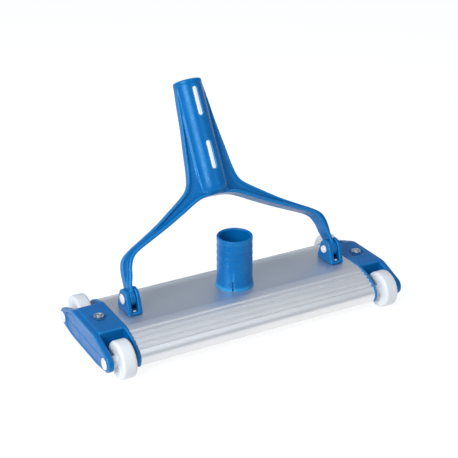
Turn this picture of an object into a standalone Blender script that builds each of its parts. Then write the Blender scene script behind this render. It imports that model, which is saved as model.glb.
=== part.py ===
"""Manual pool cleaner head: an aluminium body on four wheels with a swivelling hose spigot,
two brush strips underneath and a forked handle that tilts in two clevis brackets.

Lengths are in metres, +Z is up, the body runs along X and the handle leans towards +Y.
Shapes are drawn from the hose axis, with z = 0 on the flat top of the body. An empty then
carries everything so that the object stands on z = 0 with its box centred on the origin.
"""

from math import cos, pi, radians, sin, sqrt

import bmesh
import bpy
from mathutils import Matrix, Vector

MM = 0.001
GAP = 0.3 * MM  # between pieces that touch

# Wheels and their axle pins
WHEEL_RADIUS = 19.7 * MM
WHEEL_WIDTH = 15.8 * MM
WHEEL_EDGE_RADIUS = 2.8 * MM
HUB_RADIUS = 7.0 * MM
AXLE_Y = 53.7 * MM
AXLE_Z = -20.0 * MM
AXLE_RADIUS = 4.0 * MM
AXLE_HEAD_RADIUS = 6.2 * MM
OVERALL_HALF_LENGTH = 175.0 * MM

# Aluminium body, an extruded section
BODY_HALF_LENGTH = 138.2 * MM
BODY_WALL = 2.2 * MM
FLAT_HALF_WIDTH = 28.0 * MM
# Outer line of the section from the edge of the flat top to the lip: (y, z)
SHOULDER = [(28.0, 0.0), (35.5, -1.6), (43.5, -3.9), (51.0, -7.2), (57.5, -11.6), (61.6, -16.6),
            (62.7, -21.5), (60.8, -28.5)]
FLUTE_COUNT = 5
FLUTE_FIRST = 9.5 * MM  # along the section, from the edge of the flat
FLUTE_PITCH = 5.45 * MM
FLUTE_WIDTH = 2.6 * MM
FLUTE_DEPTH = 1.0 * MM
RAIL_Y = 30.5 * MM  # centre of the slot that holds a brush strip
RAIL_HALF_WIDTH = 5.1 * MM
RAIL_WALL = 1.6 * MM
RAIL_LIP = 2.3 * MM
RAIL_ROOF_Z = -4.3 * MM
RAIL_LIP_Z = -7.9 * MM
RAIL_END_Z = -9.4 * MM

# Moulded end caps
FLANGE_X = (138.5 * MM, 141.5 * MM)
WALL_X = (166.6 * MM, 173.4 * MM)
CAP_PROUD = 0.7 * MM
CAP_END_Z = -29.5 * MM
DECK_HALF_WIDTH = 29.7 * MM
DECK_TOP = 0.3 * MM
DECK_UNDERSIDE = -2.2 * MM
WALL_TOP = -1.0 * MM
WALL_FLAT_HALF = 29.0 * MM
WALL_KEEL_HALF = 33.0 * MM
WALL_KEEL_Z = -32.6 * MM
WALL_NOSE_RADIUS = 9.5 * MM
CAP_BOLT_X = 155.5 * MM
CAP_BOLT_RADIUS = 3.0 * MM
CAP_BOLT_TIP_Z = 3.6 * MM
NUT_FLAT = 10.0 * MM
NUT_HEIGHT = 3.4 * MM
NUT_RECESS = 0.8 * MM
HOLLOW_X = (144.0 * MM, 164.2 * MM)
HOLLOW_HALF_WIDTH = 27.3 * MM

# Steel tie plates under the body, one for each end cap
TIE_X = (112.0 * MM, 163.5 * MM)
TIE_HALF_WIDTH = 14.0 * MM
TIE_TOP = -2.5 * MM
TIE_THICKNESS = 2.5 * MM

# Clevis brackets, their screws and the pivot of the handle
PIVOT_X = 121.0 * MM
PIVOT_Z = 14.5 * MM
PIVOT_RADIUS = 3.6 * MM
BRACKET_WIDTH = 15.4 * MM
BRACKET_GAP = 7.4 * MM
BRACKET_HALF_DEPTH = 14.5 * MM
BRACKET_TOP_RADIUS = 10.2 * MM
BRACKET_FLOOR = 3.4 * MM
SCREW_Y = 9.5 * MM
SCREW_RADIUS = 2.0 * MM

# Forked handle, drawn in its own plane: x across, s up the handle from the pivot
LEAN = radians(30.5)
TUBE_RADIUS = 15.75 * MM
TUBE_TOP = 208.0 * MM
TUBE_FOOT = 84.6 * MM
TUBE_CHAMFER = 1.0 * MM
TUBE_FOOT_ROUNDING = 7.0 * MM
BORE_RADIUS = 12.9 * MM
BORE_END = 100.0 * MM
SLOTS = [(109.0 * MM, 140.4 * MM), (167.3 * MM, 199.3 * MM)]
SLOT_WIDTH = 5.0 * MM
STRAP_DEPTH = 18.0 * MM
STRAP_THICKNESS = 3.8 * MM
RIB_DEPTH = 8.0 * MM
EYE_RADIUS = 9.2 * MM
EYE_WIDTH = 6.8 * MM
# Underside of the arch and inner side of the arm: (x, s)
ARCH_LINE = [(0.0, 83.2), (12.0, 82.6), (24.0, 79.6), (42.2, 70.6), (64.9, 59.5), (86.0, 50.2),
             (101.5, 43.2), (109.2, 37.3), (113.4, 28.6), (115.4, 19.5), (117.9, 11.4), (118.0, 4.0)]
# Outer edge of the fin and of the arm: (x, s)
FIN_LINE = [(15.7, 206.0), (18.1, 184.0), (20.4, 160.0), (23.8, 134.0), (27.0, 110.0), (30.6, 97.5),
            (37.5, 89.5), (55.0, 77.6), (73.6, 65.7), (92.9, 55.2), (110.0, 46.2), (119.0, 39.4),
            (122.6, 31.5), (123.8, 22.0), (124.0, 5.0)]

# Hose spigot, its bush in the body and its retaining ring
SPIGOT_RADIUS = 19.0 * MM
SPIGOT_HEIGHT = 56.6 * MM
SPIGOT_BORE = 16.0 * MM
SKIRT_RADIUS = 20.4 * MM
SKIRT_HEIGHT = 9.0 * MM
NECK_RADIUS = 18.1 * MM
NECK_END = -8.6 * MM
BARB_COUNT = 4
BARB_PITCH = 8.0 * MM
BARB_DEPTH = 0.45 * MM
SKIRT_SLITS = 4
SLIT_ANGLE = radians(-123.0)
BODY_HOLE_RADIUS = 20.0 * MM
BUSH_FLANGE_RADIUS = 22.8 * MM

# Brush strips
BRUSH_HALF_LENGTH = 104.0 * MM
BRUSH_NECK_HALF = 2.5 * MM
BRISTLE_END_Z = -38.7 * MM

PLATE_HEIGHT = WHEEL_RADIUS - AXLE_Z
BACK_EDGE = sin(LEAN) * (TUBE_TOP - TUBE_CHAMFER) + cos(LEAN) * TUBE_RADIUS
FRONT_EDGE = -(AXLE_Y + WHEEL_RADIUS)
CENTRE_Y = (BACK_EDGE + FRONT_EDGE) / 2

YZ_OUTLINE = Matrix(((0, 0, 1, 0), (1, 0, 0, 0), (0, 1, 0, 0), (0, 0, 0, 1)))
XZ_OUTLINE = Matrix(((1, 0, 0, 0), (0, 0, -1, 0), (0, 1, 0, 0), (0, 0, 0, 1)))
XY_OUTLINE = Matrix.Identity(4)


# ---------------------------------------------------------------- scene and materials

def clear_scene():
    for old in list(bpy.data.objects):
        bpy.data.objects.remove(old, do_unlink=True)


def new_collection(name):
    collection = bpy.data.collections.new(name)
    bpy.context.scene.collection.children.link(collection)
    return collection


def material(name, colour, roughness, metallic=0.0):
    made = bpy.data.materials.new(name)
    made.use_nodes = True
    shader = made.node_tree.nodes["Principled BSDF"]
    shader.inputs["Base Color"].default_value = (*colour, 1.0)
    shader.inputs["Roughness"].default_value = roughness
    shader.inputs["Metallic"].default_value = metallic
    made.diffuse_color = (*colour, 1.0)
    return made


clear_scene()
PARTS = new_collection("pool_cleaner_head")
CUTTERS = new_collection("cutters")

BLUE = material("blue_plastic", (0.013, 0.19, 0.51), 0.35)
WHITE = material("white_nylon", (0.80, 0.83, 0.86), 0.40)
ALUMINIUM = material("anodised_aluminium", (0.52, 0.55, 0.60), 0.38, 1.0)
STEEL = material("stainless_steel", (0.55, 0.56, 0.58), 0.30, 1.0)
BRISTLE = material("bristle_nylon", (0.70, 0.73, 0.78), 0.60)


# ---------------------------------------------------------------- shapes

def circle(u, v, radius, count):
    return [(u + radius * cos(2 * pi * k / count), v + radius * sin(2 * pi * k / count))
            for k in range(count)]


def arc(u, v, radius, start, end, count):
    """Points on an arc; the angles are in degrees."""
    angles = [radians(start + (end - start) * k / count) for k in range(count + 1)]
    return [(u + radius * cos(a), v + radius * sin(a)) for a in angles]


def rectangle(u_low, u_high, v_low, v_high):
    return [(u_low, v_low), (u_high, v_low), (u_high, v_high), (u_low, v_high)]


def capsule(u, v_low, v_high, width, count=6):
    """Slot outline along v with round ends."""
    radius = width / 2
    return (arc(u, v_high - radius, radius, 0, 180, count)
            + arc(u, v_low + radius, radius, 180, 360, count))


def hexagon(flat):
    radius = flat / sqrt(3)
    return [(radius * cos(pi * k / 3), radius * sin(pi * k / 3)) for k in range(6)]


def smooth_line(points, per_span):
    """Catmull-Rom curve through points given in millimetres, returned in metres."""
    line = [Vector(p) * MM for p in points]
    line = [2 * line[0] - line[1]] + line + [2 * line[-1] - line[-2]]
    result = []
    for k in range(1, len(line) - 2):
        a, b, c, d = line[k - 1:k + 3]
        for step in range(per_span):
            t = step / per_span
            result.append(0.5 * (2 * b + (c - a) * t + (2 * a - 5 * b + 4 * c - d) * t ** 2
                                 + (3 * b - 3 * c + d - a) * t ** 3))
    result.append(line[-2])
    return result


def offset_line(line, distance):
    """The line moved to its left-hand side by a distance."""
    moved = []
    for k, point in enumerate(line):
        along = line[min(k + 1, len(line) - 1)] - line[max(k - 1, 0)]
        moved.append(point + distance * Vector((-along.y, along.x)).normalized())
    return moved


def weld(mesh):
    work = bmesh.new()
    work.from_mesh(mesh)
    bmesh.ops.remove_doubles(work, verts=work.verts, dist=0.005 * MM)
    work.to_mesh(mesh)
    work.free()


def slab(outlines, low, high, frame=XY_OUTLINE):
    """Closed mesh of a flat outline with holes, from low to high across its plane."""
    curve = bpy.data.curves.new("outline", "CURVE")
    curve.dimensions = "2D"
    curve.fill_mode = "BOTH"
    curve.extrude = (high - low) / 2
    for outline in outlines:
        spline = curve.splines.new("POLY")
        spline.points.add(len(outline) - 1)
        for point, (u, v) in zip(spline.points, outline):
            point.co = (u, v, 0.0, 1.0)
        spline.use_cyclic_u = True
    holder = bpy.data.objects.new("outline", curve)
    bpy.context.scene.collection.objects.link(holder)
    graph = bpy.context.evaluated_depsgraph_get()
    mesh = bpy.data.meshes.new_from_object(holder.evaluated_get(graph))
    bpy.data.objects.remove(holder, do_unlink=True)
    weld(mesh)
    mesh.transform(frame @ Matrix.Translation((0, 0, (low + high) / 2)))
    return mesh


def soften(mesh, width, segments=1, sharper_than=50, where=lambda middle: True):
    """Round the edges of a closed mesh that turn by more than an angle in degrees."""
    work = bmesh.new()
    work.from_mesh(mesh)
    bmesh.ops.dissolve_limit(work, angle_limit=radians(0.5), verts=work.verts, edges=work.edges)
    edges = [e for e in work.edges if e.calc_face_angle(0) > radians(sharper_than)
             and where((e.verts[0].co + e.verts[1].co) / 2)]
    bmesh.ops.bevel(work, geom=edges, offset=width, segments=segments, profile=0.5,
                    affect="EDGES", clamp_overlap=True)
    bmesh.ops.remove_doubles(work, verts=work.verts, dist=0.005 * MM)
    work.to_mesh(mesh)
    work.free()
    return mesh


def drum(radius, low, high, segments=32, frame=XY_OUTLINE):
    """Closed cylinder about the normal of its outline plane."""
    work = bmesh.new()
    bmesh.ops.create_cone(work, cap_ends=True, segments=segments, radius1=radius, radius2=radius,
                          depth=high - low)
    mesh = bpy.data.meshes.new("drum")
    work.to_mesh(mesh)
    work.free()
    mesh.transform(frame @ Matrix.Translation((0, 0, (low + high) / 2)))
    return mesh


def add_piece(name, mesh, look, parent, place=(0, 0, 0), turn=(0, 0, 0)):
    piece = bpy.data.objects.new(name, mesh)
    PARTS.objects.link(piece)
    piece.parent = parent
    piece.location = place
    piece.rotation_euler = turn
    mesh.materials.clear()
    mesh.materials.append(look)
    return piece


def add_turned(name, profile, look, parent, place=(0, 0, 0), turn=(0, 0, 0), closed=True, steps=32):
    """A profile in (radius, z), outer side from top to bottom, turned about the piece's Z."""
    mesh = bpy.data.meshes.new(name)
    count = len(profile)
    edges = [(k, (k + 1) % count) for k in range(count if closed else count - 1)]
    mesh.from_pydata([(r, 0.0, z) for r, z in profile], edges, [])
    piece = add_piece(name, mesh, look, parent, place, turn)
    screw = piece.modifiers.new("turn", "SCREW")
    screw.axis = "Z"
    screw.steps = steps
    screw.render_steps = steps
    screw.use_merge_vertices = True
    screw.merge_threshold = 0.00001
    return piece


def shape_with(piece, name, mesh, operation="DIFFERENCE"):
    """Boolean of a piece with a mesh drawn in the piece's own coordinates."""
    tool = bpy.data.objects.new(f"{piece.name}_{name}", mesh)
    CUTTERS.objects.link(tool)
    tool.parent = piece.parent
    tool.location = piece.location
    tool.rotation_euler = piece.rotation_euler
    tool.display_type = "WIRE"
    tool.hide_render = True
    boolean = piece.modifiers.new(name, "BOOLEAN")
    boolean.operation = operation
    boolean.solver = "EXACT"
    boolean.object = tool


def add_empty(name, parent=None, place=(0, 0, 0), turn=(0, 0, 0)):
    empty = bpy.data.objects.new(name, None)
    PARTS.objects.link(empty)
    empty.parent = parent
    empty.location = place
    empty.rotation_euler = turn
    return empty


# ---------------------------------------------------------------- body

def section_top(proud=0.0, flutes=True):
    """Outer half section from the edge of the flat top to the lip."""
    line = smooth_line(SHOULDER, 8)
    lengths = [0.0]
    for a, b in zip(line, line[1:]):
        lengths.append(lengths[-1] + (b - a).length)

    def at(distance):
        k = max(i for i, length in enumerate(lengths[:-1]) if length <= distance)
        share = min(1.0, (distance - lengths[k]) / (lengths[k + 1] - lengths[k]))
        along = (line[k + 1] - line[k]).normalized()
        return line[k].lerp(line[k + 1], share), Vector((-along.y, along.x))

    centres = [FLUTE_FIRST + k * FLUTE_PITCH for k in range(FLUTE_COUNT)] if flutes else []
    stations = [(lengths[-1] * k / 20, 0.0) for k in range(21)]
    stations = [s for s in stations if all(abs(s[0] - c) > FLUTE_WIDTH * 0.75 for c in centres)]
    for centre in centres:
        for share, depth in ((-0.5, 0.0), (-0.3, 0.85), (0.0, 1.0), (0.3, 0.85), (0.5, 0.0)):
            stations.append((centre + share * FLUTE_WIDTH, depth * FLUTE_DEPTH))
    points = []
    for distance, depth in sorted(stations):
        point, outward = at(distance)
        points.append(tuple(point + outward * (proud - depth)))
    return points


def body_section():
    outer = section_top()
    inner = [tuple(p) for p in offset_line(smooth_line(SHOULDER, 3), -BODY_WALL)]
    rail_out = RAIL_Y + RAIL_HALF_WIDTH
    rail_in = RAIL_Y - RAIL_HALF_WIDTH
    nose = [p for p in inner if p[0] > rail_out + RAIL_WALL + 1.5 * MM or p[1] < -14 * MM]
    nose[-1] = (nose[-1][0], outer[-1][1])
    underside = nose[::-1] + [
        (rail_out + RAIL_WALL, -5.6 * MM), (rail_out + RAIL_WALL, RAIL_END_Z),
        (rail_out - RAIL_LIP, RAIL_END_Z), (rail_out - RAIL_LIP, RAIL_LIP_Z),
        (rail_out, RAIL_LIP_Z), (rail_out, RAIL_ROOF_Z), (rail_in, RAIL_ROOF_Z),
        (rail_in, RAIL_LIP_Z), (rail_in + RAIL_LIP, RAIL_LIP_Z), (rail_in + RAIL_LIP, RAIL_END_Z),
        (rail_in - RAIL_WALL, RAIL_END_Z), (rail_in - RAIL_WALL, -BODY_WALL)]
    half = outer + underside
    return half + [(-y, z) for y, z in reversed(half)]


def add_body(base):
    body = add_piece("body_extrusion", slab([body_section()], -BODY_HALF_LENGTH, BODY_HALF_LENGTH,
                                            YZ_OUTLINE), ALUMINIUM, base)
    shape_with(body, "hose_hole", drum(BODY_HOLE_RADIUS, -20 * MM, 20 * MM, 40))
    for side in (-1, 1):
        for end in (-1, 1):
            hole = slab([circle(side * PIVOT_X, end * SCREW_Y, SCREW_RADIUS + GAP, 12)],
                        -20 * MM, 20 * MM)
            shape_with(body, f"screw_hole_{side}_{end}", hole)


# ---------------------------------------------------------------- end caps

def cap_wall_outline():
    half = [(WALL_FLAT_HALF, WALL_TOP)] + arc(AXLE_Y, AXLE_Z, WALL_NOSE_RADIUS, 62, -90, 8)
    half.append((WALL_KEEL_HALF, WALL_KEEL_Z))
    return half + [(-y, z) for y, z in reversed(half)]


def flange_outline():
    half = section_top(CAP_PROUD, flutes=False)
    half = half[:-1] + [(half[-1][0], CAP_END_Z)]
    return half + [(-y, z) for y, z in reversed(half)]


def add_end_cap(name, side):
    wall_low, wall_high = WALL_X
    flange_low, flange_high = FLANGE_X
    overlap = 0.6 * MM
    axle_holes = [circle(end * AXLE_Y, AXLE_Z, AXLE_RADIUS + GAP, 16) for end in (-1, 1)]
    wall = soften(slab([cap_wall_outline()], wall_low, wall_high, YZ_OUTLINE), 1.3 * MM)
    cap = add_piece(name, wall, BLUE, side)
    flange = slab([flange_outline()], flange_low, flange_high, YZ_OUTLINE)
    deck = slab([rectangle(-DECK_HALF_WIDTH, DECK_HALF_WIDTH, CAP_END_Z, DECK_TOP)],
                flange_high - overlap, wall_low + overlap, YZ_OUTLINE)
    shape_with(cap, "flange", flange, "UNION")
    shape_with(cap, "deck", deck, "UNION")
    hollow = slab([rectangle(-HOLLOW_HALF_WIDTH, HOLLOW_HALF_WIDTH, -40 * MM, DECK_UNDERSIDE)],
                  *HOLLOW_X, YZ_OUTLINE)
    tie_slot = slab([rectangle(-TIE_HALF_WIDTH - GAP, TIE_HALF_WIDTH + GAP,
                               TIE_TOP - TIE_THICKNESS - GAP, DECK_UNDERSIDE)],
                    130 * MM, 150 * MM, YZ_OUTLINE)
    nut_recess = drum(8.0 * MM, DECK_TOP - NUT_RECESS, 10 * MM, 24)
    nut_recess.transform(Matrix.Translation((CAP_BOLT_X, 0, 0)))
    bolt_hole = drum(CAP_BOLT_RADIUS + GAP, -20 * MM, 20 * MM, 16)
    bolt_hole.transform(Matrix.Translation((CAP_BOLT_X, 0, 0)))
    groove = slab([rectangle(-45 * MM, 45 * MM, -17.4 * MM, -16.2 * MM)],
                  wall_high - 0.7 * MM, wall_high + 5 * MM, YZ_OUTLINE)
    shape_with(cap, "hollow", hollow)
    shape_with(cap, "tie_slot", tie_slot)
    shape_with(cap, "nut_recess", nut_recess)
    shape_with(cap, "bolt_hole", bolt_hole)
    shape_with(cap, "side_groove", groove)
    for label, outline in zip(("first", "second"), axle_holes):
        shape_with(cap, f"{label}_axle_hole", slab([outline], 120 * MM, 190 * MM, YZ_OUTLINE))


def add_tie(prefix, side):
    holes = [circle(PIVOT_X, end * SCREW_Y, SCREW_RADIUS + GAP, 12) for end in (-1, 1)]
    holes.append(circle(CAP_BOLT_X, 0, CAP_BOLT_RADIUS + GAP, 16))
    outline = rectangle(TIE_X[0], TIE_X[1], -TIE_HALF_WIDTH, TIE_HALF_WIDTH)
    tie = slab([outline] + holes, TIE_TOP - TIE_THICKNESS, TIE_TOP)
    add_piece(f"{prefix}_tie_plate", tie, STEEL, side)


def add_cap_fastener(prefix, side):
    place = (CAP_BOLT_X, 0, 0)
    head_top = TIE_TOP - TIE_THICKNESS - GAP
    bolt = add_piece(f"{prefix}_cap_bolt", slab([hexagon(NUT_FLAT)], head_top - 4 * MM, head_top),
                     STEEL, side, place)
    shank = soften(drum(CAP_BOLT_RADIUS - 0.1 * MM, head_top - 1 * MM, CAP_BOLT_TIP_Z, 16), 0.4 * MM)
    shape_with(bolt, "shank", shank, "UNION")
    nut_low = DECK_TOP - NUT_RECESS + GAP
    nut = slab([hexagon(NUT_FLAT), circle(0, 0, CAP_BOLT_RADIUS + 0.2 * MM, 20)],
               nut_low, nut_low + NUT_HEIGHT)
    add_piece(f"{prefix}_cap_nut", nut, STEEL, side, place)


# ---------------------------------------------------------------- wheels

def wheel_profile():
    half = WHEEL_WIDTH / 2
    hub_half = (WALL_X[0] - FLANGE_X[1]) / 2 - 0.4 * MM
    bore = AXLE_RADIUS + 0.35 * MM
    rim = WHEEL_RADIUS - 3.8 * MM
    web = half - 1.2 * MM
    corner = WHEEL_RADIUS - WHEEL_EDGE_RADIUS
    top = [(bore, hub_half), (HUB_RADIUS, hub_half), (HUB_RADIUS, web), (rim - 0.8 * MM, web),
           (rim, half)]
    top += arc(corner, half - WHEEL_EDGE_RADIUS, WHEEL_EDGE_RADIUS, 90, 0, 3)
    return top + [(r, -z) for r, z in reversed(top)]


def axle_profile():
    """Pin about Z, with z = 0 on the outer face of the cap wall."""
    dome_top = OVERALL_HALF_LENGTH - WALL_X[1]
    head_low = GAP
    tip_low = -(WALL_X[1] - FLANGE_X[0]) - GAP
    rise = dome_top - head_low
    dome = [(AXLE_HEAD_RADIUS * sin(radians(a)), head_low + 0.35 * rise + 0.65 * rise * cos(radians(a)))
            for a in (0, 30, 60, 90)]
    return dome + [(AXLE_HEAD_RADIUS, head_low), (AXLE_RADIUS, head_low), (AXLE_RADIUS, tip_low),
                   (AXLE_RADIUS + 0.7 * MM, tip_low), (AXLE_RADIUS + 0.5 * MM, tip_low - 1.2 * MM),
                   (AXLE_RADIUS - 1 * MM, tip_low - 2.6 * MM), (0.0, tip_low - 2.6 * MM)]


def add_wheels(base):
    for end, end_name in ((-1, "front"), (1, "back")):
        for side, side_name in ((-1, "left"), (1, "right")):
            turn = (0, side * pi / 2, 0)
            middle = (side * (WALL_X[0] + FLANGE_X[1]) / 2, end * AXLE_Y, AXLE_Z)
            add_turned(f"{end_name}_{side_name}_wheel", wheel_profile(), WHITE, base, middle, turn,
                       steps=28)
            wall_face = (side * WALL_X[1], end * AXLE_Y, AXLE_Z)
            add_turned(f"{end_name}_{side_name}_axle_pin", axle_profile(), WHITE, base, wall_face,
                       turn, closed=False, steps=16)


# ---------------------------------------------------------------- brackets

def bracket_outline():
    """Cheek seen from the side: a foot with straight flanks that run up to a round top."""
    top = arc(0, PIVOT_Z, BRACKET_TOP_RADIUS, 28, 152, 10)
    foot = BRACKET_HALF_DEPTH
    foot_top = 3.0 * MM
    return [(foot, GAP), (foot, foot_top)] + top + [(-foot, foot_top), (-foot, GAP)]


def add_bracket(prefix, side):
    half = BRACKET_WIDTH / 2
    cheek = soften(slab([bracket_outline()], -half, half, YZ_OUTLINE), 0.7 * MM)
    bracket = add_piece(f"{prefix}_bracket", cheek, BLUE, side, (PIVOT_X, 0, 0))
    gap = slab([rectangle(-30 * MM, 30 * MM, BRACKET_FLOOR, 40 * MM)], -BRACKET_GAP / 2,
               BRACKET_GAP / 2, YZ_OUTLINE)
    shape_with(bracket, "gap", gap)
    pin_hole = slab([circle(0, PIVOT_Z, PIVOT_RADIUS + GAP, 20)], -30 * MM, 30 * MM, YZ_OUTLINE)
    shape_with(bracket, "pin_hole", pin_hole)
    for label, end in (("front", -1), ("back", 1)):
        hole = slab([circle(0, end * SCREW_Y, SCREW_RADIUS + GAP, 12)], -10 * MM, 30 * MM)
        shape_with(bracket, f"{label}_screw_hole", hole)


def pivot_pin_profile():
    """Pin about Z, with z = 0 on the middle of the clevis and the head at the top."""
    half = BRACKET_WIDTH / 2 + GAP
    head = 6.3 * MM
    tip = PIVOT_RADIUS + 0.6 * MM
    return [(0, half + 1.9 * MM), (head - 2.2 * MM, half + 1.75 * MM), (head - 0.7 * MM, half + 1.2 * MM),
            (head, half + 0.5 * MM), (head, half), (PIVOT_RADIUS, half), (PIVOT_RADIUS, -half),
            (tip, -half), (tip, -half - 1.2 * MM), (tip - 0.9 * MM, -half - 2.8 * MM),
            (tip - 2.2 * MM, -half - 3.5 * MM), (0, -half - 3.6 * MM)]


def screw_profile():
    """Pan head screw about Z, z = 0 under the head."""
    head = 3.2 * MM
    end = -(BRACKET_FLOOR - TIE_TOP + TIE_THICKNESS + 5.0 * MM)
    return [(0, 1.8 * MM), (1.8 * MM, 1.65 * MM), (2.8 * MM, 1.1 * MM), (head, 0.4 * MM), (head, 0),
            (SCREW_RADIUS, 0), (SCREW_RADIUS, end + 0.4 * MM), (SCREW_RADIUS - 0.4 * MM, end), (0, end)]


def add_bracket_fasteners(prefix, side, flip):
    under = TIE_TOP - TIE_THICKNESS - GAP
    for label, end in (("front", -flip), ("back", flip)):
        head = (PIVOT_X, end * SCREW_Y, BRACKET_FLOOR + GAP)
        screw = add_turned(f"{prefix}_{label}_bracket_screw", screw_profile(), STEEL, side, head,
                           closed=False, steps=16)
        recess = slab([rectangle(-2.0 * MM, 2.0 * MM, -0.4 * MM, 0.4 * MM)], 1.0 * MM, 3 * MM)
        shape_with(screw, "driver_slot", recess)
        nut = slab([hexagon(7.0 * MM), circle(0, 0, SCREW_RADIUS + 0.2 * MM, 16)],
                   under - 3.2 * MM, under)
        add_piece(f"{prefix}_{label}_bracket_nut", nut, STEEL, side, (PIVOT_X, end * SCREW_Y, 0))


# ---------------------------------------------------------------- forked handle

def mirrored(half):
    """Close a half outline (x, s) over the middle plane."""
    flipped = [(-x, s) for x, s in reversed(half)]
    return half + [p for p in flipped if abs(p[0]) > 0.01 * MM or p not in half]


def strap_outline():
    inner = smooth_line(ARCH_LINE, 3)
    outer = offset_line(inner, STRAP_THICKNESS)
    outer[0] = Vector((0.0, outer[0].y))
    left_out = [(-p.x, p.y) for p in reversed(outer[1:])]
    right_out = [tuple(p) for p in outer]
    right_in = [tuple(p) for p in reversed(inner)]
    left_in = [(-p.x, p.y) for p in inner[1:]]
    return left_out + right_out + right_in + left_in


def rib_outline():
    inner = offset_line(smooth_line(ARCH_LINE, 3), 0.8 * MM)
    outer = smooth_line(FIN_LINE, 3)
    right = [tuple(p) for p in outer] + [tuple(p) for p in reversed(inner[1:])]
    return right + [(-x, s) for x, s in reversed(right)]


def add_handle(pivot):
    rib = slab([rib_outline()], -RIB_DEPTH / 2, RIB_DEPTH / 2, XZ_OUTLINE)
    handle = add_piece("handle_fork", soften(rib, 1.0 * MM), BLUE, pivot)
    strap = slab([strap_outline()], -STRAP_DEPTH / 2, STRAP_DEPTH / 2, XZ_OUTLINE)
    shape_with(handle, "strap", soften(strap, 0.8 * MM), "UNION")
    tube = drum(TUBE_RADIUS, TUBE_FOOT, TUBE_TOP, 40)
    soften(tube, TUBE_CHAMFER, where=lambda middle: middle.z > BORE_END)
    soften(tube, TUBE_FOOT_ROUNDING, 3, where=lambda middle: middle.z < BORE_END)
    shape_with(handle, "tube", tube, "UNION")
    eye_half = EYE_WIDTH / 2
    for label, side in (("left", -1), ("right", 1)):
        eye = drum(EYE_RADIUS, side * PIVOT_X - eye_half, side * PIVOT_X + eye_half, 28, YZ_OUTLINE)
        shape_with(handle, f"{label}_eye", eye, "UNION")
    for label, side in (("left", -1), ("right", 1)):
        hole = drum(PIVOT_RADIUS + GAP, side * PIVOT_X - 10 * MM, side * PIVOT_X + 10 * MM, 20,
                    YZ_OUTLINE)
        shape_with(handle, f"{label}_pin_hole", hole)
    shape_with(handle, "bore", drum(BORE_RADIUS, BORE_END, TUBE_TOP + 10 * MM, 40))
    for label, (low, high) in zip(("lower", "upper"), SLOTS):
        slot = slab([capsule(0, low, high, SLOT_WIDTH)], -30 * MM, 30 * MM, XZ_OUTLINE)
        shape_with(handle, f"{label}_slot", slot)


def add_sleeve(pivot):
    outer = BORE_RADIUS - GAP
    inner = 10.6 * MM
    sleeve = add_piece("pole_sleeve", drum(outer, BORE_END + GAP, TUBE_TOP - 0.8 * MM, 40), WHITE, pivot)
    for label, (low, high) in zip(("lower", "upper"), SLOTS):
        key = slab([capsule(0, low + GAP, high - GAP, SLOT_WIDTH - 2 * GAP)], -15.2 * MM, 15.2 * MM,
                   XZ_OUTLINE)
        shape_with(sleeve, f"{label}_keys", key, "UNION")
    shape_with(sleeve, "bore", drum(inner, BORE_END - 10 * MM, TUBE_TOP + 10 * MM, 40))


# ---------------------------------------------------------------- hose spigot

def spigot_profile():
    """Turned about the hose axis: outer side from the mouth down, then up the bore."""
    chamfer = 0.8 * MM
    outer = [(SPIGOT_BORE + 1.0 * MM, SPIGOT_HEIGHT), (SPIGOT_RADIUS - chamfer, SPIGOT_HEIGHT),
             (SPIGOT_RADIUS, SPIGOT_HEIGHT - chamfer)]
    for k in range(BARB_COUNT):
        z = SPIGOT_HEIGHT - 5.0 * MM - k * BARB_PITCH
        outer += [(SPIGOT_RADIUS, z), (SPIGOT_RADIUS - BARB_DEPTH, z - 0.5 * MM),
                  (SPIGOT_RADIUS, z - 4.5 * MM)]
    outer += [(SPIGOT_RADIUS, SKIRT_HEIGHT), (SPIGOT_RADIUS + 0.7 * MM, SKIRT_HEIGHT / 2),
              (SKIRT_RADIUS, GAP), (NECK_RADIUS, GAP)]
    groove_top = -5.0 * MM
    groove_low = NECK_END + 1.1 * MM
    outer += [(NECK_RADIUS, groove_top), (NECK_RADIUS - 0.8 * MM, groove_top),
              (NECK_RADIUS - 0.8 * MM, groove_low), (NECK_RADIUS, groove_low), (NECK_RADIUS, NECK_END)]
    return outer + [(SPIGOT_BORE, NECK_END), (SPIGOT_BORE, SPIGOT_HEIGHT - 1.0 * MM)]


def add_hose_parts(base, swivel):
    spigot = add_turned("hose_spigot", spigot_profile(), BLUE, swivel, steps=36)
    for k in range(SKIRT_SLITS):
        slit = slab([rectangle(18.3 * MM, 25 * MM, -1.3 * MM, 1.3 * MM)], -0.2 * MM, 11.0 * MM)
        slit.transform(Matrix.Rotation(SLIT_ANGLE + k * 2 * pi / SKIRT_SLITS, 4, "Z"))
        shape_with(spigot, f"slit_{k}", slit)
    bush_bore = NECK_RADIUS + GAP
    bush = [(bush_bore, -0.1 * MM), (BODY_HOLE_RADIUS - GAP, -0.1 * MM),
            (BODY_HOLE_RADIUS - GAP, -BODY_WALL - GAP), (BUSH_FLANGE_RADIUS, -BODY_WALL - GAP),
            (BUSH_FLANGE_RADIUS, -4.6 * MM), (bush_bore, -4.6 * MM)]
    add_turned("spigot_bush", bush, WHITE, base, steps=36)
    ring_bore = NECK_RADIUS - 0.8 * MM + GAP
    ring = [(ring_bore, -5.3 * MM), (21.6 * MM, -5.3 * MM), (21.6 * MM, -7.2 * MM),
            (ring_bore, -7.2 * MM)]
    add_turned("spigot_retaining_ring", ring, WHITE, swivel, steps=36)


# ---------------------------------------------------------------- brush strips

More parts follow.
